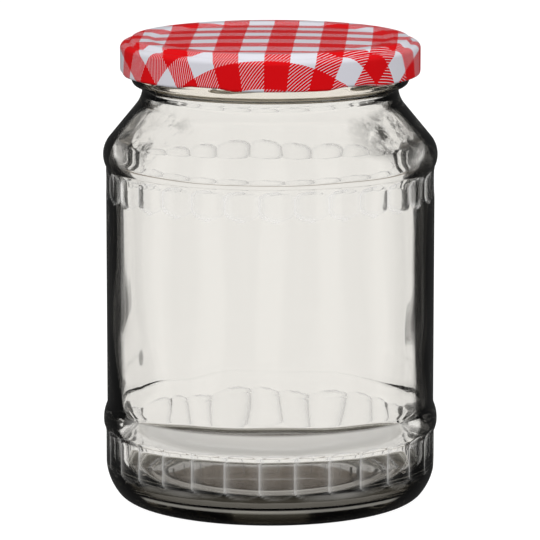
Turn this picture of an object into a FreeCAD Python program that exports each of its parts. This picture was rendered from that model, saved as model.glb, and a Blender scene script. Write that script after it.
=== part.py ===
import FreeCAD, Part
import math
import os
import Sketcher
from FreeCAD import Placement, Rotation, Vector

# A 0.7 litre round preserving jar with two bands of facets, and its twist-off lid.
# Millimetres, +Z up, the origin in the middle of the ring that the jar stands on.
SIZES = (
    ("JarHeight", 131.7, "glass, from the ring it stands on to the rim"),
    ("BodyRadius", 46.8, "straight wall between the two bands of facets"),
    ("FinishRadius", 39.4, "wall that carries the thread"),
    ("WallThickness", 2.4, "wall and shoulder"),
    ("FinishWall", 4.4, "wall at the thread"),
    ("FootOutset", 0.4, "body wall out to the wall below the lower bead"),
    ("HeelInset", 7.4, "from the foot in to the ring the jar stands on"),
    ("HeelRound", 5.3, "lower part of the heel"),
    ("HeelSideRound", 15.0, "upper part of the heel"),
    ("BearingWidth", 2.0, "flat ring that the jar stands on"),
    ("BearingStep", 1.3, "rise just inside that ring"),
    ("PuntHeight", 3.2, "pushed-up middle of the base"),
    ("BaseThickness", 4.2, "glass at the middle of the base"),
    ("FloorCrown", 2.0, "rise of the inner floor to its middle"),
    ("InnerHeelRound", 9.0, "inside, between wall and floor"),
    ("BeadBottom", 19.4, "lower bead"),
    ("BeadTop", 27.2, "lower bead"),
    ("BeadRound", 9.7, "lower bead, across its width"),
    ("ShoulderDrop", 35.8, "rim to the bottom of the shoulder bead"),
    ("ShoulderRound", 7.3, "shoulder bead, across its width"),
    ("ConeInset", 0.7, "body wall in to the bottom of the cone"),
    ("ConeBottomDrop", 28.0, "rim to the bottom of the cone"),
    ("ConeTopDrop", 18.5, "rim to the top of the cone"),
    ("ConeTopOutset", 1.9, "neck out to the top of the cone"),
    ("InnerShoulderDrop", 32.2, "rim to where the inner wall starts to lean"),
    ("InnerShoulderRound", 6.4, "inside, between wall and cone"),
    ("NeckInset", 3.0, "finish wall in to the neck"),
    ("NeckDrop", 14.1, "rim to the narrowest part of the neck"),
    ("NeckRound", 8.7, "between cone and neck"),
    ("InnerNeckDrop", 15.8, "rim to the narrowest part of the bore"),
    ("InnerNeckRound", 5.2, "inside, between cone and neck"),
    ("BoreDrop", 12.2, "rim to the bottom of the straight bore"),
    ("FlareRound", 1.5, "hollow under the finish"),
    ("FinishRound", 1.7, "lower edge of the finish"),
    ("RimRound", 2.4, "outside of the rim"),
    ("InnerRimRound", 1.1, "inside of the rim"),
    ("FacetCount", 30, "facets in each band"),
    ("FacetTurn", 8.2, "degrees from +X to the first facet"),
    ("ArrisDepth", 0.05, "wall in to the edge where two facets meet"),
    ("FacetClear", 1.5, "how far a facet's cut runs out past its flat"),
    ("UpperFlatTopDrop", 38.4, "rim to the top of the upper flats"),
    ("UpperFlatBottomDrop", 41.3, "rim to the bottom of the upper flats"),
    ("UpperRoundTop", 7.4, "how the upper flats run out upwards"),
    ("UpperRoundBottom", 20.3, "how the upper flats run out downwards"),
    ("LowerFlatTop", 18.6, "top of the lower flats"),
    ("LowerRoundTop", 5.0, "how the lower flats run out upwards"),
    ("ThreadStarts", 6, "thread ribs, and lugs on the lid"),
    ("ThreadTurn", 12.0, "degrees from +X to the low end of a rib"),
    ("ThreadSpan", 75.0, "degrees that a rib runs round"),
    ("ThreadLead", 20.0, "rise in a full turn"),
    ("ThreadDepth", 1.5, "finish wall out to a rib's crest"),
    ("ThreadDrop", 8.9, "rim to the middle of a rib's low end"),
    ("ThreadRoot", 2.4, "rib height at the wall"),
    ("ThreadCrest", 1.2, "rib height at its crest"),
    ("ThreadSink", 0.4, "rib root inside the wall"),
    ("LidHeight", 10.2, "lid, from ring to curl"),
    ("SkirtGap", 1.45, "thread crest out to the skirt"),
    ("SheetThickness", 0.25, "tinplate with its lacquer"),
    ("SealThickness", 0.9, "sheet and sealing lining over the rim"),
    ("SealOuterInset", 1.0, "finish wall in to the lining's outer edge"),
    ("SealInnerInset", 1.3, "bore in to the lining's inner edge"),
    ("SealLip", 0.5, "slope at the lining's inner edge"),
    ("PanelInset", 2.3, "bore in to the edge of the middle panel"),
    ("PanelDrop", 0.6, "ring down to the edge of the middle panel"),
    ("PanelCrown", 0.7, "rise of the panel to its middle"),
    ("RingInnerOutset", 0.1, "bore out to the ring's inner edge"),
    ("RingOuterInset", 0.2, "finish wall in to the ring's outer edge"),
    ("StepOutset", 0.9, "finish wall out to the foot of the step"),
    ("StepDrop", 1.3, "ring down to the step"),
    ("CornerRound", 1.6, "lid's outer corner"),
    ("CurlRadius", 0.7, "rolled edge of the skirt"),
    ("CurlBack", 0.4, "straight back of the curl"),
    ("CurlSlope", 0.8, "curl's slope up to the skirt"),
    ("LugTurn", 4.0, "degrees from +X to the middle of a lug"),
    ("LugSpan", 14.0, "degrees that a lug runs round"),
    ("LugRise", 0.7, "skirt's edge up to a lug"),
    ("LugRiseSpan", 17.0, "degrees over which the edge is raised"),
    ("LugGap", 0.6, "finish wall out to a lug's nose"),
    ("LugThickness", 0.9, "lug, across"),
)

SHEET = "Sizes"
TOP_OFF = 3.0  # how far a cut reaches past the glass or tinplate that it cuts


class Size:
    """A length with the sheet's expression for it, so that sketches stay bound to the sheet."""

    def __init__(self, value, text):
        self.value = float(value)
        self.text = text

    def __add__(self, other):
        other = as_size(other)
        return Size(self.value + other.value, f"({self.text} + {other.text})")

    def __sub__(self, other):
        other = as_size(other)
        return Size(self.value - other.value, f"({self.text} - {other.text})")

    def __mul__(self, other):
        other = as_size(other)
        return Size(self.value * other.value, f"({self.text} * {other.text})")

    def __truediv__(self, other):
        other = as_size(other)
        return Size(self.value / other.value, f"({self.text} / {other.text})")


def as_size(number):
    """The number itself if it is a Size already, or a Size that holds it."""
    return number if isinstance(number, Size) else Size(number, repr(float(number)))


def root(size):
    """The square root of a Size."""
    return Size(math.sqrt(size.value), f"sqrt({size.text})")


def dome_radius(reach, rise):
    """The radius of an arc that is level at the axis and drops by rise at reach."""
    return (reach * reach + rise * rise) / (rise * 2)


def run_out(radius, depth):
    """How far along its flat a cut of this radius takes to come out of this depth."""
    return root(radius * depth * 2 - depth * depth)


def facet_radius(wall):
    """The radius of flats that meet each other ArrisDepth inside the wall."""
    half_turn = 180 / size["FacetCount"].value
    cosine = Size(math.cos(math.radians(half_turn)), f"cos(180 deg / {SHEET}.FacetCount)")
    return (wall - size["ArrisDepth"]) * cosine


def make_sheet(doc):
    """The spreadsheet of driving dimensions, and a Size for each of its aliases."""
    sheet = doc.addObject("Spreadsheet::Sheet", SHEET)
    sizes = {}
    for row, (alias, value, note) in enumerate(SIZES, start=1):
        sheet.set(f"A{row}", alias)
        sheet.set(f"B{row}", str(value))
        sheet.set(f"C{row}", note)
        sheet.setAlias(f"B{row}", alias)
        sizes[alias] = Size(value, f"{SHEET}.{alias}")
    doc.recompute()
    return sizes


def radial_sketch(body, name, turn=None):
    """A sketch on the body's upright plane through +X, its vertical axis on Z, turned about Z."""
    sketch = body.newObject("Sketcher::SketchObject", name)
    plane = [item for item in body.Origin.OriginFeatures if item.Role == "XZ_Plane"][0]
    sketch.AttachmentSupport = [(plane, "")]
    sketch.MapMode = "FlatFace"
    if turn is not None:
        sketch.AttachmentOffset = Placement(Vector(), Rotation(Vector(0, 1, 0), turn.value))
        sketch.setExpression("AttachmentOffset.Rotation.Angle", turn.text)
    return sketch


def arc_between(first, last, radius, turning):
    """The shorter arc from first to last, turning left or right on the way."""
    middle = (first + last) / 2
    chord = last - first
    reach = math.sqrt(max(radius ** 2 - (chord.Length / 2) ** 2, 0.0))
    side = Vector(-chord.y, chord.x, 0).normalize() * reach
    if turning == "left":
        centre, begin, end = middle + side, first, last
    else:
        centre, begin, end = middle - side, last, first
    angles = [math.atan2(point.y - centre.y, point.x - centre.x) for point in (begin, end)]
    if angles[1] < angles[0]:
        angles[1] += 2 * math.pi
    return Part.ArcOfCircle(Part.Circle(centre, Vector(0, 0, 1), radius), *angles)


def pin_corner(sketch, edge, end, corner):
    """Hold one end of an edge at a corner, bound to the sheet."""
    for kind, axis, place in (("DistanceX", -2, corner[0]), ("DistanceY", -1, corner[1])):
        if place.value == 0:
            sketch.addConstraint(Sketcher.Constraint("PointOnObject", edge, end, axis))
        else:
            held = sketch.addConstraint(Sketcher.Constraint(kind, -1, 1, edge, end, place.value))
            sketch.setExpression(f"Constraints[{held}]", place.text)


def outline(sketch, corners):
    """Draw a closed outline from (radius, height) corners.

    A corner that the outline reaches by an arc also gives the arc's radius and its turning.
    """
    corners = [(as_size(c[0]), as_size(c[1]), *c[2:]) for c in corners]
    ends = []
    for number, corner in enumerate(corners):
        last = corners[(number + 1) % len(corners)]
        first_point = Vector(corner[0].value, corner[1].value, 0)
        last_point = Vector(last[0].value, last[1].value, 0)
        if len(last) == 2:
            edge = sketch.addGeometry(Part.LineSegment(first_point, last_point))
            ends.append((1, 2))
            continue
        radius, turning = last[2:]
        edge = sketch.addGeometry(arc_between(first_point, last_point, radius.value, turning))
        ends.append((1, 2) if turning == "left" else (2, 1))
        held = sketch.addConstraint(Sketcher.Constraint("Radius", edge, radius.value))
        sketch.setExpression(f"Constraints[{held}]", radius.text)
    for number, corner in enumerate(corners):
        before = number - 1 if number else len(corners) - 1
        joint = Sketcher.Constraint("Coincident", before, ends[before][1], number, ends[number][0])
        sketch.addConstraint(joint)
        pin_corner(sketch, number, ends[number][0], corner[:2])


def revolve(body, kind, name, sketch, span=None):
    """Turn a sketch about Z: all the way round, or over a span with the sketch in its middle."""
    turned = body.newObject(f"PartDesign::{kind}", name)
    turned.Profile = sketch
    turned.ReferenceAxis = (sketch, ["V_Axis"])
    turned.Angle = 360
    if span is not None:
        turned.Midplane = True
        turned.setExpression("Angle", span.text)
    return turned


def repeat(body, name, feature, sketch, count):
    """Repeat one feature evenly about Z."""
    pattern = body.newObject("PartDesign::PolarPattern", name)
    pattern.Originals = [feature]
    pattern.Axis = (sketch, ["V_Axis"])
    pattern.Angle = 360
    pattern.setExpression("Occurrences", count.text)
    body.Tip = pattern
    return pattern


def jar_profile():
    """The glass in section, from the middle of the base out, up, over the rim and back down."""
    rim = size["JarHeight"]
    body = size["BodyRadius"]
    finish = size["FinishRadius"]
    foot = body + size["FootOutset"]
    neck = finish - size["NeckInset"]
    bore = finish - size["FinishWall"]
    inner_body = body - size["WallThickness"]
    inner_neck = neck - size["WallThickness"]

    # the heel is two arcs that run into each other
    low, side = size["HeelRound"], size["HeelSideRound"]
    bearing = foot - size["HeelInset"]
    side_inset = side - size["HeelInset"]
    heel_top = low + root((side - low) * (side - low) - side_inset * side_inset)
    side_centre = (foot - side, heel_top)
    share = side / (side - low)
    heel_joint = (
        side_centre[0] + (bearing - side_centre[0]) * share,
        side_centre[1] + (low - side_centre[1]) * share,
    )

    bearing_inner = bearing - size["BearingWidth"]
    punt_edge = bearing_inner - size["BearingStep"]
    punt_rise = size["PuntHeight"] - size["BearingStep"]
    cone_bottom = (body - size["ConeInset"], rim - size["ConeBottomDrop"])
    cone_top = (neck + size["ConeTopOutset"], rim - size["ConeTopDrop"])
    lean = cone_bottom[0] - cone_top[0]
    climb = cone_top[1] - cone_bottom[1]
    slant_wall = size["WallThickness"] * root(lean * lean + climb * climb) / climb
    flare, edge = size["FlareRound"], size["FinishRound"]
    flare_outer = finish - edge
    flare_top = rim - size["NeckDrop"] + flare
    rim_round, inner_rim_round = size["RimRound"], size["InnerRimRound"]
    floor_middle = size["PuntHeight"] + size["BaseThickness"]
    floor_edge = floor_middle - size["FloorCrown"]
    floor_round = size["InnerHeelRound"]
    floor_reach = inner_body - floor_round

    return (
        (0, size["PuntHeight"]),
        (punt_edge, size["BearingStep"], dome_radius(punt_edge, punt_rise), "right"),
        (bearing_inner, 0),
        (bearing, 0),
        (*heel_joint, low, "left"),
        (foot, heel_top, side, "left"),
        (foot, size["BeadBottom"]),
        (body, size["BeadTop"], size["BeadRound"], "left"),
        (body, rim - size["ShoulderDrop"]),
        (*cone_bottom, size["ShoulderRound"], "left"),
        cone_top,
        (neck, rim - size["NeckDrop"], size["NeckRound"], "right"),
        (flare_outer, flare_top, flare, "right"),
        (finish, flare_top + edge, edge, "left"),
        (finish, rim - rim_round),
        (finish - rim_round, rim, rim_round, "left"),
        (bore + inner_rim_round, rim),
        (bore, rim - inner_rim_round, inner_rim_round, "left"),
        (bore, rim - size["BoreDrop"]),
        (inner_neck, rim - size["InnerNeckDrop"]),
        (cone_top[0] - slant_wall, cone_top[1], size["InnerNeckRound"], "left"),
        (cone_bottom[0] - slant_wall, cone_bottom[1]),
        (inner_body, rim - size["InnerShoulderDrop"], size["InnerShoulderRound"], "right"),
        (inner_body, floor_edge + floor_round),
        (floor_reach, floor_edge, floor_round, "right"),
        (0, floor_middle, dome_radius(floor_reach, size["FloorCrown"]), "left"),
    )


def upper_facet():
    """What one facet of the upper band cuts away, in section: its flat runs out at both ends."""
    flat = facet_radius(size["BodyRadius"])
    clear = size["FacetClear"]
    top = size["JarHeight"] - size["UpperFlatTopDrop"]
    bottom = size["JarHeight"] - size["UpperFlatBottomDrop"]
    top_round, bottom_round = size["UpperRoundTop"], size["UpperRoundBottom"]
    end_top = top + run_out(top_round, clear)
    end_bottom = bottom - run_out(bottom_round, clear)
    outer = flat + clear + TOP_OFF
    return (
        (flat, bottom, bottom_round, "right"),
        (flat, top),
        (flat + clear, end_top, top_round, "right"),
        (outer, end_top),
        (outer, end_bottom),
        (flat + clear, end_bottom),
    )


def lower_facet():
    """What one facet of the lower band cuts away: its flat runs out upwards and into the heel."""
    flat = facet_radius(size["BodyRadius"] + size["FootOutset"])
    clear = size["FacetClear"]
    top = size["LowerFlatTop"]
    end_top = top + run_out(size["LowerRoundTop"], clear)
    outer = flat + clear + TOP_OFF
    return (
        (flat, size["HeelRound"]),
        (flat, top),
        (flat + clear, end_top, size["LowerRoundTop"], "right"),
        (outer, end_top),
        (outer, size["HeelRound"]),
    )


def cut_facets(body, name, corners):
    """Cut one facet straight across the wall and repeat it all round."""
    sketch = radial_sketch(body, f"{name}Profile", size["FacetTurn"])
    outline(sketch, corners)
    cut = body.newObject("PartDesign::Pocket", f"{name}Cut")
    cut.Profile = sketch
    cut.SideType = "Symmetric"
    reach = size["BodyRadius"] * 3 * math.pi / size["FacetCount"]
    cut.Length = reach.value
    cut.setExpression("Length", reach.text)
    repeat(body, f"{name}Band", cut, sketch, size["FacetCount"])


def thread_profile():
    """A thread rib in section at its low end, its root sunk in the finish wall."""
    middle = size["JarHeight"] - size["ThreadDrop"]
    root_radius = size["FinishRadius"] - size["ThreadSink"]
    crest_radius = size["FinishRadius"] + size["ThreadDepth"]
    half_root, half_crest = size["ThreadRoot"] / 2, size["ThreadCrest"] / 2
    return (
        (root_radius, middle - half_root),
        (crest_radius, middle - half_crest),
        (crest_radius, middle + half_crest),
        (root_radius, middle + half_root),
    )


def make_jar(doc):
    """The glass: a turned wall, a band of facets above and below, and six thread ribs."""
    body = doc.addObject("PartDesign::Body", "GlassJar")
    body.Label = "glass_jar"
    profile = radial_sketch(body, "JarProfile")
    outline(profile, jar_profile())
    revolve(body, "Revolution", "JarWall", profile)

    thread = radial_sketch(body, "ThreadProfile", size["ThreadTurn"])
    outline(thread, thread_profile())
    rib = body.newObject("PartDesign::AdditiveHelix", "ThreadRib")
    rib.Profile = thread
    rib.ReferenceAxis = (thread, ["V_Axis"])
    rib.Mode = "pitch-height-angle"
    rib.setExpression("Pitch", size["ThreadLead"].text)
    rise = size["ThreadLead"] * size["ThreadSpan"] / 360
    rib.setExpression("Height", rise.text)
    repeat(body, "Thread", rib, thread, size["ThreadStarts"])

    cut_facets(body, "UpperFacet", upper_facet())
    cut_facets(body, "LowerFacet", lower_facet())
    return body


def lid_levels():
    """The lid's outer radius, and the heights of its top ring and its lower edge."""
    outer = size["FinishRadius"] + size["ThreadDepth"] + size["SkirtGap"] + size["SheetThickness"]
    top = size["JarHeight"] + size["SealThickness"]
    return outer, top, top - size["LidHeight"]


def lid_profile():
    """The lid in section: its upper face from the middle out, down to the curl, and back inside."""
    outer, top, edge = lid_levels()
    sheet = size["SheetThickness"]
    finish = size["FinishRadius"]
    bore = finish - size["FinishWall"]
    panel = bore - size["PanelInset"]
    panel_top = top - size["PanelDrop"]
    crown = size["PanelCrown"]
    step = finish + size["StepOutset"]
    step_top = top - size["StepDrop"]
    corner, curl = size["CornerRound"], size["CurlRadius"]
    inside_corner = corner - sheet
    curl_back = outer - curl - curl
    back_top = edge + curl + size["CurlBack"]
    seal = top - size["SealThickness"]
    seal_inner = bore - size["SealInnerInset"]
    under_panel = seal_inner - size["SealLip"]
    return (
        (0, panel_top + crown),
        (panel, panel_top, dome_radius(panel, crown), "right"),
        (bore + size["RingInnerOutset"], top),
        (finish - size["RingOuterInset"], top),
        (step, step_top),
        (outer - corner, step_top),
        (outer, step_top - corner, corner, "right"),
        (outer, edge + curl),
        (outer - curl, edge, curl, "right"),
        (curl_back, edge + curl, curl, "right"),
        (curl_back, back_top),
        (outer - sheet, back_top + size["CurlSlope"]),
        (outer - sheet, step_top - corner),
        (outer - corner, step_top - sheet, inside_corner, "left"),
        (step, step_top - sheet),
        (finish - size["SealOuterInset"], seal),
        (seal_inner, seal),
        (under_panel, panel_top - sheet),
        (0, panel_top + crown - sheet, dome_radius(under_panel, crown), "left"),
    )


def edge_relief():
    """The part of the curl that is pressed up where a lug is, in section."""
    outer, _, edge = lid_levels()
    inner = outer - size["CurlRadius"] * 2 - TOP_OFF
    return (
        (inner, edge - TOP_OFF),
        (outer + TOP_OFF, edge - TOP_OFF),
        (outer + TOP_OFF, edge + size["LugRise"]),
        (inner, edge + size["LugRise"]),
    )


def lug_profile():
    """A lug in section: a rounded nose that reaches in under a thread rib."""
    outer, _, edge = lid_levels()
    bottom = edge + size["LugRise"]
    top = bottom + size["LugThickness"]
    nose = size["LugThickness"] / 2
    tip = size["FinishRadius"] + size["LugGap"]
    merge = outer - size["SheetThickness"] / 2
    return (
        (tip + nose, top),
        (tip, bottom + nose, nose, "left"),
        (tip + nose, bottom, nose, "left"),
        (outer - size["CurlRadius"], bottom),
        (merge, top),
    )


def make_lid(doc):
    """The lid: a turned tinplate cap with a raised ring and a curled edge, and six lugs."""
    body = doc.addObject("PartDesign::Body", "Lid")
    body.Label = "lid"
    profile = radial_sketch(body, "LidProfile")
    outline(profile, lid_profile())
    revolve(body, "Revolution", "LidSheet", profile)

    relief = radial_sketch(body, "EdgeReliefProfile", size["LugTurn"])
    outline(relief, edge_relief())
    groove = revolve(body, "Groove", "EdgeRelief", relief, size["LugRiseSpan"])
    repeat(body, "EdgeReliefs", groove, relief, size["ThreadStarts"])

    lug_sketch = radial_sketch(body, "LugProfile", size["LugTurn"])
    outline(lug_sketch, lug_profile())
    lug = revolve(body, "Revolution", "Lug", lug_sketch, size["LugSpan"])
    repeat(body, "Lugs", lug, lug_sketch, size["ThreadStarts"])
    return body


def check_document(doc, bodies):
    """Stop if a feature failed, or a piece has no valid shape."""
    for item in doc.Objects:
        if {"Invalid", "Error"} & set(item.State):
            raise RuntimeError(f"{item.Name} failed: {item.State}")
    for body in bodies:
        if body.Shape.isNull() or not body.Shape.isValid():
            raise RuntimeError(f"{body.Label} has no valid shape")


document = FreeCAD.newDocument("PreservingJar")
size = make_sheet(document)
pieces = [make_jar(document), make_lid(document)]
document.recompute()
check_document(document, pieces)
os.makedirs("parts", exist_ok=True)
for piece in pieces:
    piece.Shape.exportStep(f"parts/{piece.Label}.step")
    print(piece.Label, "volume", round(piece.Shape.Volume), piece.Shape.BoundBox)
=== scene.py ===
"""Looks of the preserving jar: pressed clear glass and a gingham twist-off lid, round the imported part."""

import math

import bpy
import numpy as np
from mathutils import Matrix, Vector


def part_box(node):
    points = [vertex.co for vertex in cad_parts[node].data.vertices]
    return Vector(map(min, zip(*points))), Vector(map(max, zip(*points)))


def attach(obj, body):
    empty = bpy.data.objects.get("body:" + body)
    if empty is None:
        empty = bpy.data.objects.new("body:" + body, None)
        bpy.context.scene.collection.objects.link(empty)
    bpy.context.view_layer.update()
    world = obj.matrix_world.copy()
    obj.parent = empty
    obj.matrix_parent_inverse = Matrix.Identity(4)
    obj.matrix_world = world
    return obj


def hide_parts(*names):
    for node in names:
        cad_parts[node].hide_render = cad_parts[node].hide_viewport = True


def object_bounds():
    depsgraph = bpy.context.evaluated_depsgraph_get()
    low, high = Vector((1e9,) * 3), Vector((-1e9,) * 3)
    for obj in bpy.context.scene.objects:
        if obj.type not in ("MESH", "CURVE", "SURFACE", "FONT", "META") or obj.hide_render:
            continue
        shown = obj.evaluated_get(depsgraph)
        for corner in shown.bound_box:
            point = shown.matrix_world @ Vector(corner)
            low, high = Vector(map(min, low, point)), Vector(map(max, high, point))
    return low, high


MM = 0.001

# Glass, in millimetres and degrees: the sizes of the part's own solids.
BODY_RADIUS = 46.8
FINISH_RADIUS = 39.4
WALL = 2.4
FINISH_WALL = 4.4
FOOT_OUTSET = 0.4
HEEL_INSET = 7.4
HEEL_ROUND = 5.3
HEEL_SIDE_ROUND = 15.0
BEARING_WIDTH = 2.0
BEARING_STEP = 1.3
PUNT_HEIGHT = 3.2
BASE_THICKNESS = 4.2
FLOOR_CROWN = 2.0
INNER_HEEL_ROUND = 9.0
BEAD_BOTTOM = 19.4
BEAD_TOP = 27.2
BEAD_ROUND = 9.7
SHOULDER_DROP = 35.8
SHOULDER_ROUND = 7.3
CONE_INSET = 0.7
CONE_BOTTOM_DROP = 28.0
CONE_TOP_DROP = 18.5
CONE_TOP_OUTSET = 1.9
INNER_SHOULDER_DROP = 32.2
INNER_SHOULDER_ROUND = 6.4
NECK_INSET = 3.0
NECK_DROP = 14.1
NECK_ROUND = 8.7
INNER_NECK_DROP = 15.8
INNER_NECK_ROUND = 5.2
BORE_DROP = 12.2
FLARE_ROUND = 1.5
FINISH_ROUND = 1.7
RIM_ROUND = 2.4
INNER_RIM_ROUND = 1.1

FACETS = 30
FACET_TURN = 8.2
ARRIS_DEPTH = 0.05
UPPER_FLAT_TOP_DROP = 38.4
UPPER_FLAT_BOTTOM_DROP = 41.3
UPPER_ROUND_TOP = 7.4
UPPER_ROUND_BOTTOM = 20.3
LOWER_FLAT_TOP = 18.6
LOWER_ROUND_TOP = 5.0

# How the facets are cut, and their edges rounded and painted light, which only the scene does.
ARRIS_SOFTNESS = 0.06
NO_CUT = 99.0  # so far out that nothing is cut
CUT_ABOVE = 5.0  # how far up the shoulder bead a facet's cut is looked for
ARRIS_RISE = 0.03  # cut depth at which a facet's painted edge highlight counts in full
ARRIS_FADE = 0.09  # cut depth over which it fades again
ARRIS_DIM_SIDE = 0.35  # share of the painted highlight that one side of each facet's edge keeps
ARRIS_FOOT = 7.0  # height below which the edges get no painted highlight
ARRIS_FOOT_FADE = 5.0
# where the columns of the mesh stand in one facet, from edge to edge, as shares of it
FACET_COLUMNS = (0.0, 0.03, 0.085, 0.185, 0.335, 0.5, 0.665, 0.815, 0.915, 0.97)

# The inner wall's unevenness, which the solids don't have.
WAVES_REACH = 20.0  # distance from the axis at which it starts, and over which it grows
WAVES_RIM_CLEAR = 8.0
WAVES_RIM_FADE = 12.0

THREAD_STARTS = 6
THREAD_TURN = 12.0
THREAD_SPAN = 75.0
THREAD_LEAD = 20.0
THREAD_DEPTH = 1.5
THREAD_DROP = 8.9
# a rib is rounded here, and straight-sided in the solids
THREAD_HALF_WIDTH = 1.3
THREAD_TAPER = 9.0
THREAD_STEEPNESS = 1.6  # how steeply a rib's flanks rise

# Lid, in millimetres and degrees.
LID_RADIUS = 42.6
LID_HEIGHT = 10.2
SHEET = 0.25
SEAL = 0.9
SEAL_OUTER_INSET = 1.0
SEAL_INNER_INSET = 1.3
SEAL_LIP = 0.5
PANEL_RADIUS = 32.7
PANEL_DROP = 0.6
PANEL_CROWN = 0.7
RING_INNER = 35.1
RING_OUTER = 39.2
STEP_FOOT = 40.3
STEP_DROP = 1.3
CORNER_ROUND = 1.6
CURL_RADIUS = 0.7
CURL_BACK = 0.4
CURL_SLOPE = 0.8
LUG_TURN = 4.0
LUG_SPAN = 14.0
LUG_RISE = 0.7
LUG_RISE_SPAN = 17.0
LUG_NOSE_RADIUS = 40.0
SKIRT_EDGE_HEIGHT = 4.0  # how far up the skirt its raised edge is felt
LUG_RISE_BLEND = 8.0
LUG_BLEND = 5.0
LID_COLUMNS = 360
PRINTED_CURL_ROWS = 6  # rows of the curl that the print runs on to

# Gingham, as printed on the flat sheet before the lid is drawn.
CHECK = 7.26
PRINT_TURN = 2.2
PRINT_ASIDE = 0.11
PRINT_BACK = 1.0
HATCH_PITCH = 0.72
HATCH_SHARE = 0.79
PRINT_SPAN = 110.0

# Looks.
DARK_FLOOR_RADIUS = 34.5  # the middle of the jar's floor, which is painted dark where seen edge on
LOOK_SCALE = 20.0  # shader lengths are in units of 50 mm, so that most of them fit a ramp
TALL_SCALE = 0.4  # brings heights in those units, up to 125 mm, within a ramp
HEEL_REACH = 0.785  # distance from the axis beyond which glass at the foot is heel, in units of 50 mm
ARRIS_HIGHLIGHT = 0.85  # painted highlight on a facet's edge
PAINTED_LIGHT_LOSS = 0.52  # transmission lost for each 1.0 of painted light
STREAK_SHIFT = 0.14  # how far each noise moves the place where painted shade turns the glass dark
SHOULDER_SHIFT = 0.13  # how much later painted shade turns the shoulder dark
CLEAR = (0.88, 0.862, 0.822)
# colour of the painted highlight on the facets' edges
EDGE_HIGHLIGHT = (0.97, 0.965, 0.95)
# near-black painted shade in patches on the shoulder
SHADE_PATCH = (0.012, 0.0115, 0.010)
FINISH_CREAM = (0.96, 0.89, 0.78)
INNER_CLEAR = (0.985, 0.98, 0.97)
# painted shade of the floor's middle where it is seen edge on
FLOOR_SHADE = (0.010, 0.0075, 0.0055)
PRINT_WHITE = (0.74, 0.74, 0.80)
PRINT_RED = (0.74, 0.003, 0.006)

# Studio, in metres, degrees and watts.
PANELS = 8.0  # bright panels of the studio, evenly round the jar
RAGGED = 0.24  # how far noise moves the edges of the panels
AMBIENT = 0.62
MIRRORED = 0.05
FLOOR_HALF = 6.0
FLOOR_SINK = 0.0001
CAMERA_PLACE = (-0.0001, -1.25, 0.2892)
CAMERA_TILT = 10.15
LENS = 296.0
KEY_POWER = 9.0
FILL_POWER = 2.5


# ---------------------------------------------------------------- sections


class Section:
    """Half of a round piece in section: (radius, height) points along its lines and arcs."""

    def __init__(self, radius, height):
        self.points = [(radius, height)]

    def line(self, radius, height, step):
        """A straight stretch, in steps of about this length."""
        start = np.array(self.points[-1])
        end = np.array((radius, height))
        count = max(1, round(float(np.linalg.norm(end - start)) / step))
        for share in np.linspace(0, 1, count + 1)[1:]:
            self.points.append(tuple(start + (end - start) * share))
        return self

    def arc(self, radius, height, bend, turning, step):
        """An arc of radius bend, turning left or right on its way."""
        start = np.array(self.points[-1])
        end = np.array((radius, height))
        chord = end - start
        length = float(np.linalg.norm(chord))
        reach = math.sqrt(max(bend**2 - length**2 / 4, 0.0))
        side = np.array((-chord[1], chord[0])) / length
        sign = 1 if turning == "left" else -1
        centre = (start + end) / 2 + sign * side * reach
        first, last = (math.atan2(*(point - centre)[::-1]) for point in (start, end))
        sweep = (last - first) * sign % math.tau
        count = max(2, round(sweep * bend / step))
        for share in np.linspace(0, 1, count + 1)[1:]:
            angle = first + sign * sweep * share
            along = (math.cos(angle), math.sin(angle))
            self.points.append((centre[0] + bend * along[0], centre[1] + bend * along[1]))
        return self


def dome(reach, rise):
    """The radius of an arc that is level at the axis and drops by rise at reach."""
    return (reach**2 + rise**2) / (2 * rise)


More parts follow.
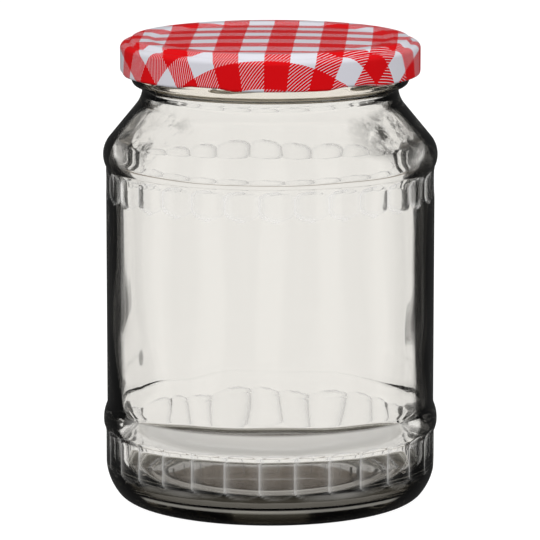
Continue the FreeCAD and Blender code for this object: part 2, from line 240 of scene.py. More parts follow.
def jar_sections(rim):
    """The glass in section: outside from the middle of the base to the rim, and inside back down."""
    finish = FINISH_RADIUS
    foot = BODY_RADIUS + FOOT_OUTSET
    neck = finish - NECK_INSET
    bore = finish - FINISH_WALL
    inner_body = BODY_RADIUS - WALL
    bearing = foot - HEEL_INSET
    side_inset = HEEL_SIDE_ROUND - HEEL_INSET
    heel_top = HEEL_ROUND + math.sqrt((HEEL_SIDE_ROUND - HEEL_ROUND) ** 2 - side_inset**2)
    share = HEEL_SIDE_ROUND / (HEEL_SIDE_ROUND - HEEL_ROUND)
    joint_radius = foot - HEEL_SIDE_ROUND + side_inset * share
    joint_height = heel_top + (HEEL_ROUND - heel_top) * share
    punt_edge = bearing - BEARING_WIDTH - BEARING_STEP
    cone_bottom = (BODY_RADIUS - CONE_INSET, rim - CONE_BOTTOM_DROP)
    cone_top = (neck + CONE_TOP_OUTSET, rim - CONE_TOP_DROP)
    lean = cone_bottom[0] - cone_top[0]
    climb = cone_top[1] - cone_bottom[1]
    slant_wall = WALL * math.hypot(lean, climb) / climb
    flare_outer = finish - FINISH_ROUND
    flare_top = rim - NECK_DROP + FLARE_ROUND
    upper_top = rim - UPPER_FLAT_TOP_DROP + 4.0
    upper_bottom = rim - UPPER_FLAT_BOTTOM_DROP - 7.0

    outside = Section(0, PUNT_HEIGHT)
    outside.arc(punt_edge, BEARING_STEP, dome(punt_edge, PUNT_HEIGHT - BEARING_STEP), "right", 2.5)
    outside.line(bearing - BEARING_WIDTH, 0, 0.6)
    outside.line(bearing, 0, 0.7)
    outside.arc(joint_radius, joint_height, HEEL_ROUND, "left", 0.45)
    outside.arc(foot, heel_top, HEEL_SIDE_ROUND, "left", 0.5)
    outside.line(foot, LOWER_FLAT_TOP - 0.5, 1.1)
    outside.line(foot, BEAD_BOTTOM, 0.3)
    outside.arc(BODY_RADIUS, BEAD_TOP, BEAD_ROUND, "left", 0.38)
    outside.line(BODY_RADIUS, upper_bottom, 2.2)
    outside.line(BODY_RADIUS, upper_bottom + 5.0, 0.45)
    outside.line(BODY_RADIUS, upper_top - 3.0, 0.7)
    outside.line(BODY_RADIUS, rim - SHOULDER_DROP, 0.3)
    outside.arc(*cone_bottom, SHOULDER_ROUND, "left", 0.35)
    outside.line(*cone_top, 1.2)
    outside.arc(neck, rim - NECK_DROP, NECK_ROUND, "right", 0.4)
    outside.arc(flare_outer, flare_top, FLARE_ROUND, "right", 0.3)
    outside.arc(finish, flare_top + FINISH_ROUND, FINISH_ROUND, "left", 0.3)
    outside.line(finish, rim - RIM_ROUND, 0.35)
    outside.arc(finish - RIM_ROUND, rim, RIM_ROUND, "left", 0.6)
    outside.line(bore + INNER_RIM_ROUND, rim, 0.6)

    floor_middle = PUNT_HEIGHT + BASE_THICKNESS
    floor_edge = floor_middle - FLOOR_CROWN
    floor_reach = inner_body - INNER_HEEL_ROUND
    inside = Section(*outside.points[-1])
    inside.arc(bore, rim - INNER_RIM_ROUND, INNER_RIM_ROUND, "left", 0.5)
    inside.line(bore, rim - BORE_DROP, 2.2)
    inside.line(neck - WALL, rim - INNER_NECK_DROP, 1.2)
    inside.arc(cone_top[0] - slant_wall, cone_top[1], INNER_NECK_ROUND, "left", 0.7)
    inside.line(cone_bottom[0] - slant_wall, cone_bottom[1], 1.5)
    inside.arc(inner_body, rim - INNER_SHOULDER_DROP, INNER_SHOULDER_ROUND, "right", 0.7)
    inside.line(inner_body, floor_edge + INNER_HEEL_ROUND, 2.4)
    inside.arc(floor_reach, floor_edge, INNER_HEEL_ROUND, "right", 0.6)
    inside.arc(0, floor_middle, dome(floor_reach, FLOOR_CROWN), "left", 2.2)
    return outside.points, inside.points


def lid_section(top):
    """The lid in section: its printed face from the middle to the curl, and its inside back again."""
    edge = top - LID_HEIGHT
    step_top = top - STEP_DROP
    shoulder = LID_RADIUS - CORNER_ROUND
    back = LID_RADIUS - 2 * CURL_RADIUS
    back_top = edge + CURL_RADIUS + CURL_BACK
    inner = LID_RADIUS - SHEET
    panel_top = top - PANEL_DROP
    seal_inner = FINISH_RADIUS - FINISH_WALL - SEAL_INNER_INSET
    lip = seal_inner - SEAL_LIP

    face = Section(0, panel_top + PANEL_CROWN)
    face.arc(PANEL_RADIUS, panel_top, dome(PANEL_RADIUS, PANEL_CROWN), "right", 1.6)
    face.line(RING_INNER, top, 0.4)
    face.line(RING_OUTER, top, 0.7)
    face.line(STEP_FOOT, step_top, 0.25)
    face.line(shoulder, step_top, 0.25)
    face.arc(LID_RADIUS, step_top - CORNER_ROUND, CORNER_ROUND, "right", 0.2)
    face.line(LID_RADIUS, edge + CURL_RADIUS, 0.6)

    inside = Section(*face.points[-1])
    inside.arc(LID_RADIUS - CURL_RADIUS, edge, CURL_RADIUS, "right", 0.15)
    inside.arc(back, edge + CURL_RADIUS, CURL_RADIUS, "right", 0.15)
    inside.line(back, back_top, 0.2)
    inside.line(inner, back_top + CURL_SLOPE, 0.3)
    inside.line(inner, step_top - CORNER_ROUND, 1.2)
    inside.arc(shoulder, step_top - SHEET, CORNER_ROUND - SHEET, "left", 0.4)
    inside.line(STEP_FOOT, step_top - SHEET, 0.7)
    inside.line(FINISH_RADIUS - SEAL_OUTER_INSET, top - SEAL, 0.7)
    inside.line(seal_inner, top - SEAL, 1.2)
    inside.line(lip, panel_top - SHEET, 0.7)
    inside.arc(0, panel_top + PANEL_CROWN - SHEET, dome(lip, PANEL_CROWN), "left", 3.0)
    return face.points, inside.points


# ---------------------------------------------------------------- turned meshes


def turn(name, rows, angles, shape):
    """A closed mesh turned about Z. shape(row, angles) gives the radii and heights round one row."""
    verts = []
    for number, row in enumerate(rows):
        if number in (0, len(rows) - 1):
            verts.append(np.array([[0.0, 0.0, row[1]]]))
            continue
        radii, heights = shape(number, angles)
        verts.append(np.stack([radii * np.cos(angles), radii * np.sin(angles), heights], axis=1))
    points = np.concatenate(verts) * MM
    around = len(angles)
    first = 1 + np.arange(len(rows) - 2) * around
    last = len(points) - 1
    faces, face_rows = [], []
    for column in range(around):
        after = (column + 1) % around
        faces.append((0, first[0] + after, first[0] + column))
        face_rows.append(0)
        faces.append((last, first[-1] + column, first[-1] + after))
        face_rows.append(len(rows) - 2)
    for number, start in enumerate(first[:-1]):
        above = start + around
        for column in range(around):
            after = (column + 1) % around
            faces.append((start + column, start + after, above + after, above + column))
            face_rows.append(number + 1)
    mesh = bpy.data.meshes.new(name)
    mesh.from_pydata(points.tolist(), [], [tuple(int(i) for i in face) for face in faces])
    mesh.shade_smooth()
    piece = bpy.data.objects.new(name, mesh)
    bpy.context.scene.collection.objects.link(piece)
    return piece, np.array(face_rows)


def soft_min(first, second, softness):
    """The lesser of two, with the edge where they meet rounded a little."""
    blend = np.clip(0.5 + (second - first) / (2 * softness), 0, 1)
    return second + (first - second) * blend - softness * blend * (1 - blend)


def run_out(height, low, high, low_round, high_round):
    """How far a facet's cut has come out at a height: nothing between low and high, then along arcs."""
    if height > high:
        rise, bend = height - high, high_round
    else:
        rise, bend = max(low - height, 0.0), low_round
    if bend is None or rise >= bend:
        return NO_CUT if rise > 0 else 0.0
    return bend - math.sqrt(bend**2 - rise**2)


def facet_cut(height, angles, rim):
    """The radius to which the two bands of facets cut the outer wall, round one row."""
    from_middle = (np.degrees(angles) - FACET_TURN + 180 / FACETS) % (360 / FACETS) - 180 / FACETS
    flat_share = math.cos(math.pi / FACETS)
    upper_low = rim - UPPER_FLAT_BOTTOM_DROP
    upper_high = rim - UPPER_FLAT_TOP_DROP
    upper = (BODY_RADIUS - ARRIS_DEPTH) * flat_share
    upper += run_out(height, upper_low, upper_high, UPPER_ROUND_BOTTOM, UPPER_ROUND_TOP)
    lower = (BODY_RADIUS + FOOT_OUTSET - ARRIS_DEPTH) * flat_share
    lower += run_out(height, 0.0, LOWER_FLAT_TOP, None, LOWER_ROUND_TOP)
    return np.minimum(upper, lower) / np.cos(np.radians(from_middle))


def ease(value):
    """From 0 to 1, level at both ends."""
    value = np.clip(value, 0, 1)
    return value * value * (3 - 2 * value)


def thread_bulge(height, angles, rim):
    """How far the thread ribs stand out of the finish wall, round one row at this height."""
    bulge = np.zeros_like(angles)
    for start in range(THREAD_STARTS):
        along = (np.degrees(angles) - THREAD_TURN - start * 360 / THREAD_STARTS + 180) % 360 - 180
        middle = rim - THREAD_DROP + THREAD_LEAD * np.maximum(along, 0) / 360
        taper = ease(1 + along / THREAD_TAPER) * ease(1 - (along - THREAD_SPAN) / THREAD_TAPER)
        across = np.abs(height - middle) / THREAD_HALF_WIDTH
        bulge = np.maximum(bulge, THREAD_DEPTH * taper * ease(THREAD_STEEPNESS * (1 - across)))
    return bulge


def mould_waves(height, angles, rim):
    """The unevenness of the inner wall, which no mould touches, in millimetres."""
    low = np.exp(-(((height - 34) / 16) ** 2))
    high = np.exp(-(((height - (rim - 33)) / 9) ** 2))
    waves = 0.10 * np.sin(3 * angles + 0.045 * height + 0.8)
    waves += 0.07 * np.sin(5 * angles - 0.08 * height + 2.1)
    waves += 0.05 * np.sin(9 * angles + 0.11 * height + 4.0)
    waves += (0.10 * low + 0.08 * high) * np.sin(11 * angles + 0.5 * np.sin(2 * angles) + 0.16 * height)
    return waves


def make_glass(rim):
    """The jar: 30 facets above and below, six thread ribs, and a slightly uneven inside."""
    outside, inside = jar_sections(rim)
    rows = outside + inside[1:]
    starts = np.arange(FACETS) * math.tau / FACETS + math.radians(FACET_TURN) - math.pi / FACETS
    angles = (starts[:, None] + np.array(FACET_COLUMNS) * math.tau / FACETS).ravel()
    finish_low = rim - NECK_DROP + FLARE_ROUND + 0.5 * FINISH_ROUND
    edge_highlights = np.zeros(2 + (len(rows) - 2) * len(angles))

    def shape(number, around):
        radius, height = rows[number]
        if number >= len(outside):
            depth = ease((radius - WAVES_REACH) / WAVES_REACH)
            depth *= ease((rim - WAVES_RIM_CLEAR - height) / WAVES_RIM_FADE)
            return radius + depth * mould_waves(height, around, rim), np.full_like(around, height)
        radii = np.full_like(around, radius)
        if radius > FINISH_RADIUS and height < rim - SHOULDER_DROP + CUT_ABOVE:
            cut = facet_cut(height, around, rim)
            radii = soft_min(radii, cut, ARRIS_SOFTNESS)
            depth = radius - cut
            first = 1 + (number - 1) * len(around)
            # painted highlight along each facet's edge, brighter on one side
            near = ease(depth / ARRIS_RISE)
            near *= np.exp(-np.maximum(depth - ARRIS_DEPTH, 0) / ARRIS_FADE)
            clockwise = np.sin(np.radians((np.degrees(around) - FACET_TURN) * FACETS)) < 0.01
            side = np.where(clockwise, 1.0, ARRIS_DIM_SIDE)
            near *= side * ease((height - ARRIS_FOOT) / ARRIS_FOOT_FADE)
            edge_highlights[first : first + len(around)] = near
        elif height > finish_low and radius > FINISH_RADIUS - RIM_ROUND:
            radii = radii + thread_bulge(height, around, rim)
        return radii, np.full_like(around, height)

    glass, face_rows = turn("jar_glass", rows, angles, shape)
    arris_highlight = glass.data.attributes.new("arris_highlight", "FLOAT", "POINT")
    arris_highlight.data.foreach_set("value", edge_highlights.astype(np.float32))
    glass.data.materials.append(outer_glass())
    glass.data.materials.append(inner_glass())
    glass.data.materials.append(floor_glass())
    inner = face_rows >= len(outside) - 1
    radii = np.array([row[0] for row in rows])
    base = inner & (radii[face_rows] < DARK_FLOOR_RADIUS)
    glass.data.polygons.foreach_set("material_index", inner.astype(np.int32) + base)
    return glass


def make_lid(top):
    """The lid: drawn tinplate with a raised ring, and lugs pressed in where its curl is raised."""
    face, inside = lid_section(top)
    rows = face + inside[1:]
    edge = top - LID_HEIGHT
    angles = np.arange(LID_COLUMNS) * math.tau / LID_COLUMNS
    curl_top = edge + 2 * CURL_RADIUS + CURL_BACK + CURL_SLOPE

    def lug_share(around, span, blend):
        spacing = 360 / THREAD_STARTS
        aside = np.abs((np.degrees(around) - LUG_TURN + spacing / 2) % spacing - spacing / 2)
        return ease((span / 2 + blend / 2 - aside) / blend)

    def shape(number, around):
        radius, height = rows[number]
        heights = np.full_like(around, height)
        radii = np.full_like(around, radius)
        if height < edge + SKIRT_EDGE_HEIGHT and radius > LUG_NOSE_RADIUS:
            near = ease((edge + SKIRT_EDGE_HEIGHT - height) / SKIRT_EDGE_HEIGHT)
            heights = heights + LUG_RISE * near * lug_share(around, LUG_RISE_SPAN, LUG_RISE_BLEND)
        if number >= len(face) and height < curl_top and radius < LID_RADIUS - CURL_RADIUS:
            reach = (LID_RADIUS - radius) / (2 * CURL_RADIUS)
            pressed = (radius - LUG_NOSE_RADIUS) * min(reach, 1.0) ** 2
            radii = radii - pressed * lug_share(around, LUG_SPAN, LUG_BLEND)
        return radii, heights

    lid, face_rows = turn("gingham_lid", rows, angles, shape)
    # the section starts at the top and the glass's at the bottom, so the faces come out inside out
    lid.data.flip_normals()
    lid.data.materials.append(lid_lacquer())
    lid.data.materials.append(lid_inside())
    printed = len(face) - 1 + PRINTED_CURL_ROWS
    lid.data.polygons.foreach_set("material_index", (face_rows >= printed).astype(np.int32))
    print_map(lid, face + inside[1 : 1 + PRINTED_CURL_ROWS])
    return lid


def print_map(lid, section):
    """A UV map of where each point lay on the flat sheet: the area inside each circle is kept."""
    flat = [0.0]
    area = 0.0
    for (r0, z0), (r1, z1) in zip(section[:-1], section[1:]):
        area += math.pi * (r0 + r1) * math.hypot(r1 - r0, z1 - z0)
        flat.append(math.sqrt(area / math.pi))
    count = len(lid.data.vertices)
    places = np.zeros(count * 3)
    lid.data.vertices.foreach_get("co", places)
    places = places.reshape(-1, 3)
    reach = np.full(count, flat[-1])
    reach[0] = 0.0
    printed = 1 + (len(section) - 1) * LID_COLUMNS
    reach[1:printed] = np.repeat(flat[1:], LID_COLUMNS)
    angles = np.arctan2(places[:, 1], places[:, 0])
    on_sheet = np.stack([reach * np.cos(angles), reach * np.sin(angles)], axis=1) / PRINT_SPAN + 0.5
    corners = np.zeros(len(lid.data.loops), np.int32)
    lid.data.loops.foreach_get("vertex_index", corners)
    layer = lid.data.uv_layers.new(name="flat_sheet")
    layer.uv.foreach_set("vector", on_sheet[corners].astype(np.float32).ravel())


# ---------------------------------------------------------------- materials


class Nodes:
    """A short way to build a node tree."""

    def __init__(self, owner):
        owner.use_nodes = True
        self.tree = owner.node_tree
        self.tree.nodes.clear()

    def add(self, kind, inputs=None, **settings):
        node = self.tree.nodes.new(f"ShaderNode{kind}")
        for name, value in settings.items():
            setattr(node, name, value)
        for name, value in (inputs or {}).items():
            socket = node.inputs[name]
            if isinstance(value, bpy.types.NodeSocket):
                self.tree.links.new(value, socket)
            else:
                socket.default_value = value
        return node

    def math(self, operation, first, second=0.0, third=0.0):
        node = self.add("Math", {0: first, 1: second, 2: third}, operation=operation)
        return node.outputs[0]

    def ramp(self, factor, stops, interpolation="LINEAR"):
        node = self.add("ValToRGB", {"Fac": factor})
        ramp = node.color_ramp
        ramp.interpolation = interpolation
        while len(ramp.elements) < len(stops):
            ramp.elements.new(0.5)
        for element, (place, colour) in zip(ramp.elements, stops):
            element.position = place
            element.color = colour if len(colour) == 4 else (*colour, 1.0)
        return node.outputs["Color"]

    def step(self, factor, low, high, before, after):
        """From the colour before to the colour after, between low and high."""
        return self.ramp(factor, ((0.0, before), (low, before), (high, after), (1.0, after)))

    def band(self, factor, start, full, end, gone, level=1.0):
        """Nothing, rising from start to this level at full, which holds to end and is gone again."""
        dark, bright = grey(0.0), grey(level)
        stops = ((0.0, dark), (start, dark), (full, bright), (end, bright), (gone, dark), (1.0, dark))
        return self.ramp(factor, stops)

    def mix(self, share, first, second, blend="MIX"):
        node = self.add("Mix", data_type="RGBA", blend_type=blend)
        for place, value in ((0, share), (6, first), (7, second)):
            socket = node.inputs[place]
            if isinstance(value, bpy.types.NodeSocket):
                self.tree.links.new(value, socket)
            elif place == 0:
                socket.default_value = value
            else:
                socket.default_value = (*value, 1.0)
        return node.outputs[2]


def grey(level):
    return (level, level, level)


def clear_glass(nodes, colour, transmission=1.0, mirrored=(0.35, 0.35, 0.35, 1.0)):
    """Clear glass of this tint with dim reflections. Shadow rays pass it, so its shadow is light."""
    inputs = {
        "Base Color": colour,
        "Roughness": 0.0,
        "IOR": 1.5,
        "Transmission Weight": transmission,
        "Specular Tint": mirrored,
    }
    shader = nodes.add("BsdfPrincipled", inputs)
    light = nodes.add("LightPath")
    passing = nodes.add("BsdfTransparent", {"Color": (0.8, 0.8, 0.8, 1.0)})
    mixed = nodes.add("MixShader", {0: light.outputs["Is Shadow Ray"]})
    nodes.tree.links.new(shader.outputs[0], mixed.inputs[1])
    nodes.tree.links.new(passing.outputs[0], mixed.inputs[2])
    output = nodes.add("OutputMaterial")
    nodes.tree.links.new(mixed.outputs[0], output.inputs["Surface"])


def reach_and_height(nodes):
    """The place in metres, and the distance from the axis and the height in units of 50 mm."""
    place = nodes.add("TexCoord").outputs["Object"]
    flat = (LOOK_SCALE, LOOK_SCALE, 0.0)
    level = nodes.add("VectorMath", {0: place, 1: flat}, operation="MULTIPLY").outputs[0]
    reach = nodes.add("VectorMath", {0: level}, operation="LENGTH").outputs["Value"]
    height = nodes.math("MULTIPLY", nodes.add("SeparateXYZ", {0: place}).outputs[2], LOOK_SCALE)
    return place, reach, height


def outer_glass():
    """The outside of the jar: painted shade darkens it where it is seen edge on, in streaks drawn down the
    wall, and painted light marks its facets' edges, heel, threads and lower bead.
    """
    material = bpy.data.materials.new("pressed_glass")
    nodes = Nodes(material)
    place, reach, height = reach_and_height(nodes)
    stretched = nodes.add("Mapping", {"Vector": place, "Scale": (1, 1, 0.16)}).outputs[0]
    shade_streaks = nodes.add("TexNoise", {"Vector": stretched, "Scale": 95.0, "Detail": 3.0, "Roughness": 0.6})
    sway = nodes.add("TexNoise", {"Vector": stretched, "Scale": 28.0, "Detail": 1.0})
    facing = nodes.add("LayerWeight", {"Blend": 0.5}).outputs["Facing"]
    shifted = nodes.math("MULTIPLY_ADD", shade_streaks.outputs["Fac"], STREAK_SHIFT, facing)
    shifted = nodes.math("MULTIPLY_ADD", sway.outputs["Fac"], STREAK_SHIFT, shifted)
    # the shoulder keeps only a thin edge of painted shade, with patches of painted shade further in
    tall = nodes.math("MULTIPLY", height, TALL_SCALE)
    shoulder = nodes.band(tall, 0.800, 0.835, 0.895, 0.920)
    # the noises have a mean of a half each, so their shift is taken off again
    held_back = nodes.math("MULTIPLY_ADD", shoulder, SHOULDER_SHIFT, STREAK_SHIFT)
    shifted = nodes.math("SUBTRACT", shifted, held_back)
    # painted shade: the glass goes from its clear tint to nearly black where it is seen edge on
    tint_and_painted_light = nodes.ramp(
        shifted,
        (
            (0.0, CLEAR),
            (0.53, CLEAR),
            (0.58, (0.02, 0.019, 0.017)),
            (0.63, (0.006, 0.0057, 0.005)),
            (1.0, (0.004, 0.0039, 0.0035)),
        ),
    )
    # painted shade: the thick heel is painted a dark olive, with a painted light line in it
    heel_shade = nodes.ramp(
        height,
        (
            (0.0, (0.09, 0.085, 0.068)),
            (0.050, (0.03, 0.028, 0.022)),
            (0.084, (0.05, 0.047, 0.037)),
            (0.095, (0.7, 0.69, 0.65)),
            (0.108, (0.7, 0.69, 0.65)),
            (0.116, (0.04, 0.038, 0.03)),
            (0.145, (0.3, 0.29, 0.26)),
            (0.175, (1.0, 1.0, 1.0)),
            (1.0, (1.0, 1.0, 1.0)),
        ),
    )
    beyond = nodes.math("GREATER_THAN", reach, HEEL_REACH)
    tint_and_painted_light = nodes.mix(beyond, tint_and_painted_light, nodes.mix(1.0, tint_and_painted_light, heel_shade, "MULTIPLY"))
    finish = nodes.step(tall, 0.949, 0.955, grey(1.0), FINISH_CREAM)
    tint_and_painted_light = nodes.mix(1.0, tint_and_painted_light, finish, "MULTIPLY")
    # painted shade in near-black patches on the shoulder, only where it is seen at a slant
    patch_noise = nodes.add("TexNoise", {"Vector": place, "Scale": 75.0, "Detail": 5.0, "Roughness": 0.65})
    window = nodes.band(facing, 0.24, 0.40, 0.56, 0.70)
    shade_patch = nodes.step(patch_noise.outputs["Fac"], 0.53, 0.62, grey(0.0), grey(1.0))
    shade_patch = nodes.math("MULTIPLY", nodes.math("MULTIPLY", window, shoulder), shade_patch)
    tint_and_painted_light = nodes.mix(shade_patch, tint_and_painted_light, SHADE_PATCH)
    # painted highlight along the facets' edges
    arris_highlight = nodes.add("Attribute", attribute_name="arris_highlight").outputs["Fac"]
    tint_and_painted_light = nodes.mix(arris_highlight, tint_and_painted_light, EDGE_HIGHLIGHT)
    # what follows is painted light, a heel line, edge highlights, glints and a pale band: it lets less light
    # through and scatters some instead
    line = nodes.band(height, 0.086, 0.094, 0.106, 0.114, 1.3)
    fine = nodes.add("Mapping", {"Vector": place, "Scale": (1, 1, 0.07)}).outputs[0]
    # painted glints in fine streaks, only where the glass is seen edge on
    threads = nodes.add("TexNoise", {"Vector": fine, "Scale": 330.0, "Detail": 1.0})
    faint, strong = grey(0.5), grey(0.8)
    stops = ((0.0, grey(0.0)), (0.60, grey(0.0)), (0.68, faint), (1.0, strong))
    glints = nodes.ramp(threads.outputs["Fac"], stops)
    edge_on = nodes.step(facing, 0.58, 0.64, grey(0.0), grey(1.0))
    glints = nodes.math("MULTIPLY", glints, edge_on)
    # painted light on the lower bead and patches of the heel. This depends on the view: it shows only where
    # they are seen square on and from outside, so the painted pale band moves round with the camera
    cloud = nodes.step(sway.outputs["Fac"], 0.46, 0.56, grey(0.0), grey(0.9))
    heel_pale_patch = nodes.math("MULTIPLY", nodes.band(height, 0.155, 0.165, 0.190, 0.200, 0.55), cloud)
    bead = nodes.band(height, 0.414, 0.430, 0.532, 0.548, 1.35)
    square_on = nodes.step(facing, 0.30, 0.52, grey(1.0), grey(0.0))
    pale_band = nodes.math("MULTIPLY", nodes.math("MAXIMUM", heel_pale_patch, bead), square_on)
    from_outside = nodes.math("SUBTRACT", 1.0, nodes.add("NewGeometry").outputs["Backfacing"])
    pale_band = nodes.math("MULTIPLY", pale_band, from_outside)
    heel_light_line = nodes.math("MULTIPLY", line, beyond)
    bright = nodes.math("MAXIMUM", heel_light_line, nodes.math("MULTIPLY", arris_highlight, ARRIS_HIGHLIGHT))
    bright = nodes.math("MAXIMUM", bright, glints)
    bright = nodes.math("MAXIMUM", bright, pale_band)
    clear_glass(nodes, tint_and_painted_light, nodes.math("MULTIPLY_ADD", bright, -PAINTED_LIGHT_LOSS, 1.0))
    return material


def inner_glass():
    """The inside of the jar, apart from the middle of its floor."""
    material = bpy.data.materials.new("inner_glass")
    nodes = Nodes(material)
    clear_glass(nodes, (*INNER_CLEAR, 1.0))
    return material


def floor_glass():
    """The middle of the jar's floor: thick glass, clear from above and painted a dark brown shade where seen
    edge on.
    """
    material = bpy.data.materials.new("floor_glass")
    nodes = Nodes(material)
    facing = nodes.add("LayerWeight", {"Blend": 0.5}).outputs["Facing"]
    tint_and_painted_light = nodes.step(facing, 0.36, 0.42, INNER_CLEAR, FLOOR_SHADE)
    clear_glass(nodes, tint_and_painted_light, mirrored=(0.11, 0.09, 0.07, 1.0))
    return material


def lid_lacquer():
    """Gingham printed on white and lacquered: full where both stripes cross, hatched where one runs."""
    material = bpy.data.materials.new("gingham_lacquer")
    nodes = Nodes(material)
    sheet = nodes.add("UVMap", uv_map="flat_sheet").outputs[0]
    axes = nodes.add("SeparateXYZ", {0: sheet})
    aside = nodes.math("MULTIPLY_ADD", axes.outputs[0], PRINT_SPAN, -PRINT_SPAN / 2)
    back = nodes.math("MULTIPLY_ADD", axes.outputs[1], PRINT_SPAN, -PRINT_SPAN / 2)
    cosine, sine = math.cos(math.radians(PRINT_TURN)), math.sin(math.radians(PRINT_TURN))
    across = nodes.math("MULTIPLY_ADD", back, -sine, nodes.math("MULTIPLY", aside, cosine))
    along = nodes.math("MULTIPLY_ADD", back, cosine, nodes.math("MULTIPLY", aside, sine))

    def stripes(place, start, first):
        count = nodes.math("FLOOR", nodes.math("MULTIPLY_ADD", place, 1 / CHECK, start / CHECK))
        odd = nodes.math("FLOORED_MODULO", count, 2.0)
        return nodes.math("COMPARE", odd, first, 0.5)

    columns = stripes(across, PRINT_ASIDE, 0.0)
    rows = stripes(along, -PRINT_BACK, 1.0)
    both = nodes.math("MULTIPLY", columns, rows)
    either = nodes.math("MAXIMUM", columns, rows)
    diagonal = nodes.math("SUBTRACT", across, along)
    line = nodes.math("FRACT", nodes.math("MULTIPLY", diagonal, 1 / (HATCH_PITCH * math.sqrt(2))))
    hatch = nodes.math("LESS_THAN", line, HATCH_SHARE)
    hatched = nodes.math("MULTIPLY", either, hatch)
    inked = nodes.math("MAXIMUM", both, hatched)
    colour = nodes.mix(inked, PRINT_WHITE, PRINT_RED)
    shader = nodes.add(
        "BsdfPrincipled",
        {"Base Color": colour, "Roughness": 0.28, "Specular IOR Level": 0.12},
    )
    output = nodes.add("OutputMaterial")
    nodes.tree.links.new(shader.outputs[0], output.inputs["Surface"])
    return material


def lid_inside():
    """The inside of the lid: pale lacquer."""
    material = bpy.data.materials.new("inner_lacquer")
    nodes = Nodes(material)
    shader = nodes.add(
        "BsdfPrincipled",
        {"Base Color": (0.83, 0.78, 0.66, 1.0), "Roughness": 0.35, "Specular IOR Level": 0.3},
    )
    output = nodes.add("OutputMaterial")
    nodes.tree.links.new(shader.outputs[0], output.inputs["Surface"])
    return material


# ---------------------------------------------------------------- studio


def make_floor():
    """A pale floor: white to the eye, and through the glass mostly the studio's own light, with a painted
    shadow near the jar.
    """
    mesh = bpy.data.meshes.new("floor")
    signs = ((-1, -1), (1, -1), (1, 1), (-1, 1))
    mesh.from_pydata([(x * FLOOR_HALF, y * FLOOR_HALF, 0) for x, y in signs], [], [(0, 1, 2, 3)])
    floor = bpy.data.objects.new("floor", mesh)
    floor.location.z = -FLOOR_SINK
    bpy.context.scene.collection.objects.link(floor)
    material = bpy.data.materials.new("pale_floor")
    nodes = Nodes(material)
    light = nodes.add("LightPath")
    place = nodes.add("TexCoord").outputs["Object"]
    reach = nodes.add("VectorMath", {0: place}, operation="LENGTH").outputs["Value"]
    # through the glass, the floor has a painted shadow: dark in a ring near the jar's edge, and light inside
    # and beyond
    clear = nodes.ramp(
        reach,
        (
            (0.0, grey(0.9)),
            (0.024, grey(0.9)),
            (0.028, grey(0.2)),
            (0.038, grey(0.2)),
            (0.040, grey(0.05)),
            (0.043, grey(0.05)),
            (0.048, grey(1.0)),
            (1.0, grey(1.0)),
        ),
    )
    dim = nodes.mix(light.outputs["Is Transmission Ray"], grey(MIRRORED), (0.09, 0.08, 0.066))
    glow = nodes.add("Emission", {"Color": dim})
    beyond = nodes.add("BsdfTransparent")
    opened = nodes.add("MixShader", {0: nodes.math("MULTIPLY", clear, light.outputs["Is Transmission Ray"])})
    nodes.tree.links.new(glow.outputs[0], opened.inputs[1])
    nodes.tree.links.new(beyond.outputs[0], opened.inputs[2])
    paper = nodes.add("BsdfDiffuse", {"Color": (0.3, 0.3, 0.3, 1.0)})
    white = nodes.add("Emission", {"Strength": nodes.math("MULTIPLY", light.outputs["Is Camera Ray"], 0.9)})
    plain = nodes.add("AddShader")
    nodes.tree.links.new(white.outputs[0], plain.inputs[0])
    nodes.tree.links.new(paper.outputs[0], plain.inputs[1])
    through = nodes.math("MAXIMUM", light.outputs["Is Transmission Ray"], light.outputs["Is Glossy Ray"])
    shown = nodes.add("MixShader", {0: through})
    nodes.tree.links.new(plain.outputs[0], shown.inputs[1])
    nodes.tree.links.new(opened.outputs[0], shown.inputs[2])
    output = nodes.add("OutputMaterial")
    nodes.tree.links.new(shown.outputs[0], output.inputs["Surface"])
    mesh.materials.append(material)


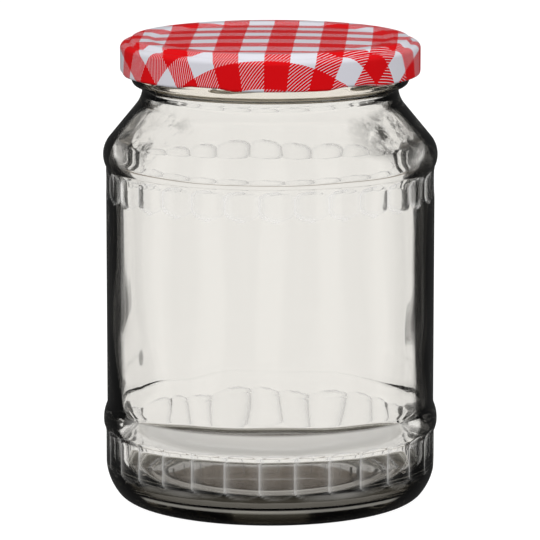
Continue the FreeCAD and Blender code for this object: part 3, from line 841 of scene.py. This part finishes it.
def make_world():
    """White to the eye, and nearly black in reflections.

    Through glass, a studio that the eye doesn't see: bright panels with dark between them, pale
    below and dim overhead.
    """
    world = bpy.data.worlds.new("studio")
    bpy.context.scene.world = world
    nodes = Nodes(world)
    light = nodes.add("LightPath")
    towards = nodes.add("SeparateXYZ", {0: nodes.add("TexCoord").outputs["Generated"]})
    azimuth = nodes.math("ARCTAN2", towards.outputs[0], towards.outputs[1])
    panels = nodes.math("COSINE", nodes.math("MULTIPLY", azimuth, PANELS))
    panels = nodes.math("MULTIPLY_ADD", panels, 0.5, 0.5)
    direction = nodes.add("TexCoord").outputs["Generated"]
    noise = {"Vector": direction, "Scale": 26.0, "Detail": 4.0, "Roughness": 0.6}
    ragged = nodes.add("TexNoise", noise).outputs["Fac"]
    panels = nodes.math("MULTIPLY_ADD", ragged, RAGGED, panels)
    panels = nodes.math("SUBTRACT", panels, RAGGED / 2)
    beside = nodes.ramp(
        panels,
        (
            (0.0, grey(0.02)),
            (0.5, grey(0.05)),
            (0.54, grey(0.2)),
            (0.60, grey(0.25)),
            (0.66, grey(1.0)),
            (1.0, grey(1.0)),
        ),
    )
    # grey patches between the panels
    noise = {"Vector": direction, "Scale": 9.0, "Detail": 3.0, "Roughness": 0.7}
    clutter = nodes.add("TexNoise", noise).outputs["Fac"]
    stops = ((0.0, grey(0.0)), (0.57, grey(0.0)), (0.62, (0.30, 0.29, 0.27)), (1.0, (0.5, 0.49, 0.46)))
    patches = nodes.ramp(clutter, stops)
    beside = nodes.mix(1.0, beside, patches, "LIGHTEN")
    lift = nodes.math("MULTIPLY_ADD", towards.outputs[2], 0.5, 0.5)
    level = nodes.ramp(
        lift,
        (
            (0.0, grey(0.97)),
            (0.565, grey(0.97)),
            (0.60, (0.42, 0.38, 0.34)),
            (1.0, (0.15, 0.14, 0.13)),
        ),
    )
    # 0 in lift is straight down, 0.5 the horizon and 1 straight up
    steep = nodes.step(lift, 0.25, 0.34, grey(1.0), grey(0.0))
    around = nodes.mix(steep, beside, grey(1.0))
    overhead = nodes.mix(1.0, around, level, "MULTIPLY")
    ambient = nodes.mix(light.outputs["Is Glossy Ray"], grey(AMBIENT), grey(MIRRORED))
    through = nodes.mix(light.outputs["Is Transmission Ray"], ambient, overhead)
    colour = nodes.mix(light.outputs["Is Camera Ray"], through, grey(1.0))
    background = nodes.add("Background", {"Color": colour, "Strength": 1.0})
    output = nodes.add("OutputWorld")
    nodes.tree.links.new(background.outputs[0], output.inputs["Surface"])


def add_softbox(name, place, size, power, aim):
    """A soft area light aimed at a point, which neither reflections nor glass show."""
    light = bpy.data.lights.new(name, "AREA")
    light.shape = "RECTANGLE"
    light.size, light.size_y = size
    light.energy = power
    lamp = bpy.data.objects.new(name, light)
    lamp.location = place
    lamp.visible_glossy = False
    lamp.visible_transmission = False
    direction = aim - lamp.location
    lamp.rotation_euler = direction.to_track_quat("-Z", "Y").to_euler()
    bpy.context.scene.collection.objects.link(lamp)


def make_camera():
    """A long lens in front of the jar, above the lid and tilted down."""
    data = bpy.data.cameras.new("camera")
    data.lens = LENS
    camera = bpy.data.objects.new("camera", data)
    camera.location = CAMERA_PLACE
    camera.rotation_euler = (math.radians(90 - CAMERA_TILT), 0, 0)
    bpy.context.scene.collection.objects.link(camera)
    bpy.context.scene.camera = camera


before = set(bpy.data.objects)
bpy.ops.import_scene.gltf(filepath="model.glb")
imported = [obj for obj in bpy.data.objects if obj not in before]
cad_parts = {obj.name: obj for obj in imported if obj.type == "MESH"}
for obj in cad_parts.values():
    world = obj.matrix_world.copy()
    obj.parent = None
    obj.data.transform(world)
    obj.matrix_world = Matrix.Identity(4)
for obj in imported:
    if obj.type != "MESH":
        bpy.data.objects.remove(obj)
cad_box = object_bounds()
rim_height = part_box("glass_jar")[1].z / MM
ring_height = rim_height + SEAL

jar = make_glass(rim_height)
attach(jar, "root")
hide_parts("glass_jar")

cap = make_lid(ring_height)
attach(cap, "root")
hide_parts("lid")

make_floor()
make_world()
middle = (cad_box[0] + cad_box[1]) / 2
add_softbox("key", (-0.5, -0.9, 1.1), (0.5, 0.5), KEY_POWER, middle)
add_softbox("fill", (0.9, -0.3, 0.5), (0.4, 0.8), FILL_POWER, middle)
make_camera()
bpy.context.scene.view_settings.view_transform = "Standard"
